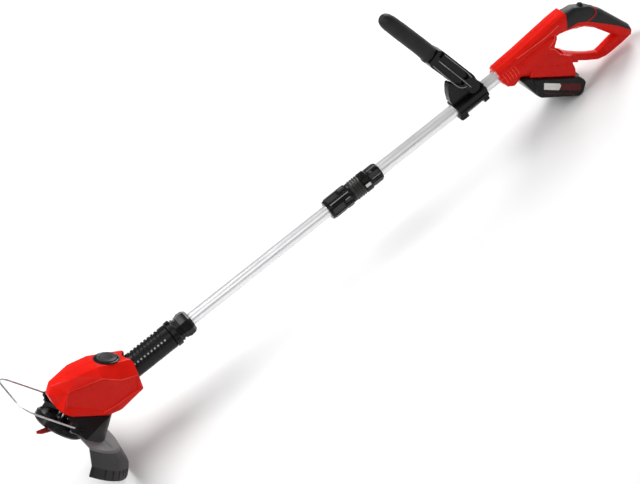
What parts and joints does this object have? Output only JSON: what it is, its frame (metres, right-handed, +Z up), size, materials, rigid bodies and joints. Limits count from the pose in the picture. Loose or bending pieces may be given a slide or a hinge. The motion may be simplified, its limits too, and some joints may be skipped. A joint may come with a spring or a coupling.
{
  "type": "cordless string trimmer",
  "caption": "Cordless grass trimmer with a telescopic tube, tilting motor head with blade disc and guard, folding wire plant guard, side handle and loop grip with slide-on battery.",
  "frame": {"origin": "on the floor, under the centre of the tool's bounding box as it rests on the guard's rim and the battery", "axes": "+X from the cutting head to the rear handle, +Y to the tool's right-hand side, +Z up"},
  "size_m": [1.301, 0.2918, 0.3831],
  "materials": {
    "red_housing": "semi-gloss moulded",
    "red_blade": "satin moulded",
    "black_plastic": "fine moulded grain",
    "grey_plastic": "moulded",
    "soft_grip": "soft matt",
    "aluminium": "drawn and polished",
    "steel": "plated"
  },
  "bodies": {
    "shaft_and_handle": {"upper_tube": "aluminium", "thread_sleeve": "black_plastic", "collet": "grey_plastic", "upper_collar": "black_plastic", "rear_housing_left": "red_housing", "rear_housing_right": "red_housing", "rear_grip_pad": "soft_grip", "rear_screw_1": "steel", "rear_screw_2": "steel", "rear_screw_3": "steel", "rear_screw_4": "steel", "rear_screw_5": "steel", "rear_screw_6": "steel", "trigger_pin": "steel", "switch_body": "grey_plastic", "terminal_block": "grey_plastic"},
    "lock_nut": {"lock_nut": "black_plastic"},
    "lower_shaft": {"lower_tube": "aluminium", "tube_collar": "black_plastic"},
    "release_ring": {"release_ring": "black_plastic"},
    "swivel": {"swivel_sleeve": "black_plastic"},
    "head": {"motor_housing_left": "red_housing", "motor_housing_right": "red_housing", "head_screw_1": "steel", "head_screw_2": "steel", "head_screw_3": "steel", "head_screw_4": "steel", "motor": "steel", "shaft_bushing": "steel", "guard_hood": "grey_plastic", "guard_screw_1": "steel", "guard_screw_2": "steel", "guard_screw_3": "steel", "guard_screw_4": "steel", "tilt_pin": "steel"},
    "tilt_button": {"tilt_button": "black_plastic"},
    "cutter": {"motor_shaft": "steel", "cutting_disc": "black_plastic", "disc_nut": "steel", "blade_pin": "steel"},
    "blade": {"blade": "red_blade"},
    "plant_guard": {"plant_guard_wire": "steel"},
    "aux_clamp": {"aux_clamp_upper": "black_plastic", "aux_clamp_lower": "black_plastic", "clamp_screw_1": "steel", "clamp_screw_2": "steel", "clamp_screw_3": "steel", "clamp_screw_4": "steel"},
    "aux_arm": {"aux_arm": "black_plastic", "aux_grip": "soft_grip", "aux_pivot_bolt": "steel"},
    "aux_knob": {"aux_knob": "black_plastic"},
    "trigger": {"trigger": "black_plastic"},
    "lock_off_button": {"lock_off_button": "black_plastic"},
    "battery": {"battery_pack": "black_plastic"},
    "battery_latch": {"battery_latch": "black_plastic"}
  },
  "joints": [
    {"name": "lock_nut_turn", "type": "hinge", "parent": "shaft_and_handle", "child": "lock_nut", "pos_m": [-0.00283, 0.0027, 0.13238], "axis": [0.9998, 0, -0.0197], "range_deg": [0, 90]},
    {"name": "telescope", "type": "slide", "parent": "shaft_and_handle", "child": "lower_shaft", "axis": [0.9998, 0, -0.0197], "range_m": [0, 0.27]},
    {"name": "release_ring_slide", "type": "slide", "parent": "lower_shaft", "child": "release_ring", "axis": [0.9998, 0, -0.0197], "range_m": [0, 0.0027], "stiffness_N_per_m": 900, "springref_m": -0.003},
    {"name": "head_swivel", "type": "hinge", "parent": "lower_shaft", "child": "swivel", "pos_m": [-0.35906, 0.0027, 0.13942], "axis": [0.9998, 0, -0.0197], "range_deg": [0, 180]},
    {"name": "head_tilt", "type": "hinge", "parent": "swivel", "child": "head", "pos_m": [-0.46304, 0.0027, 0.14147], "axis": [0, 1, 0], "range_deg": [-20, 20]},
    {"name": "tilt_button_press", "type": "slide", "parent": "head", "child": "tilt_button", "axis": [-0.5403, 0, -0.8415], "range_m": [0, 0.003], "stiffness_N_per_m": 900, "springref_m": -0.003},
    {"name": "disc_spin", "type": "hinge", "parent": "head", "child": "cutter", "pos_m": [-0.60901, 0.0027, 0.14435], "axis": [0.8897, 0, 0.4566], "continuous": true},
    {"name": "blade_swing", "type": "hinge", "parent": "cutter", "child": "blade", "pos_m": [-0.60399, 0.0317, 0.13456], "axis": [0.8897, 0, 0.4566], "continuous": true},
    {"name": "plant_guard_fold", "type": "hinge", "parent": "head", "child": "plant_guard", "pos_m": [-0.59268, 0.0027, 0.1651], "axis": [0, 1, 0], "range_deg": [0, 75]},
    {"name": "aux_clamp_slide", "type": "slide", "parent": "shaft_and_handle", "child": "aux_clamp", "axis": [0.9998, 0, -0.0197], "range_m": [-0.12, 0.015]},
    {"name": "aux_arm_tilt", "type": "hinge", "parent": "aux_clamp", "child": "aux_arm", "pos_m": [0.33928, 0.0027, 0.14963], "axis": [0, 1, 0], "range_deg": [-10, 30]},
    {"name": "aux_knob_turn", "type": "hinge", "parent": "aux_arm", "child": "aux_knob", "pos_m": [0.33928, 0.0027, 0.14963], "axis": [0, 1, 0], "range_deg": [0, 360]},
    {"name": "trigger_pull", "type": "hinge", "parent": "shaft_and_handle", "child": "trigger", "pos_m": [0.54319, 0.0027, 0.124], "axis": [0, 1, 0], "range_deg": [-6, 0], "stiffness_Nm_per_rad": 0.6, "springref_deg": 8.59},
    {"name": "lock_off_press", "type": "slide", "parent": "shaft_and_handle", "child": "lock_off_button", "axis": [-0.6311, 0, -0.7757], "range_m": [0, 0.003], "stiffness_N_per_m": 500, "springref_m": -0.003},
    {"name": "battery_slide", "type": "slide", "parent": "shaft_and_handle", "child": "battery", "axis": [0.7757, 0, -0.6311], "range_m": [0, 0.075]},
    {"name": "battery_latch_press", "type": "slide", "parent": "battery", "child": "battery_latch", "axis": [-0.9587, 0, -0.2844], "range_m": [0, 0.0025], "stiffness_N_per_m": 600, "springref_m": -0.003}
  ]
}
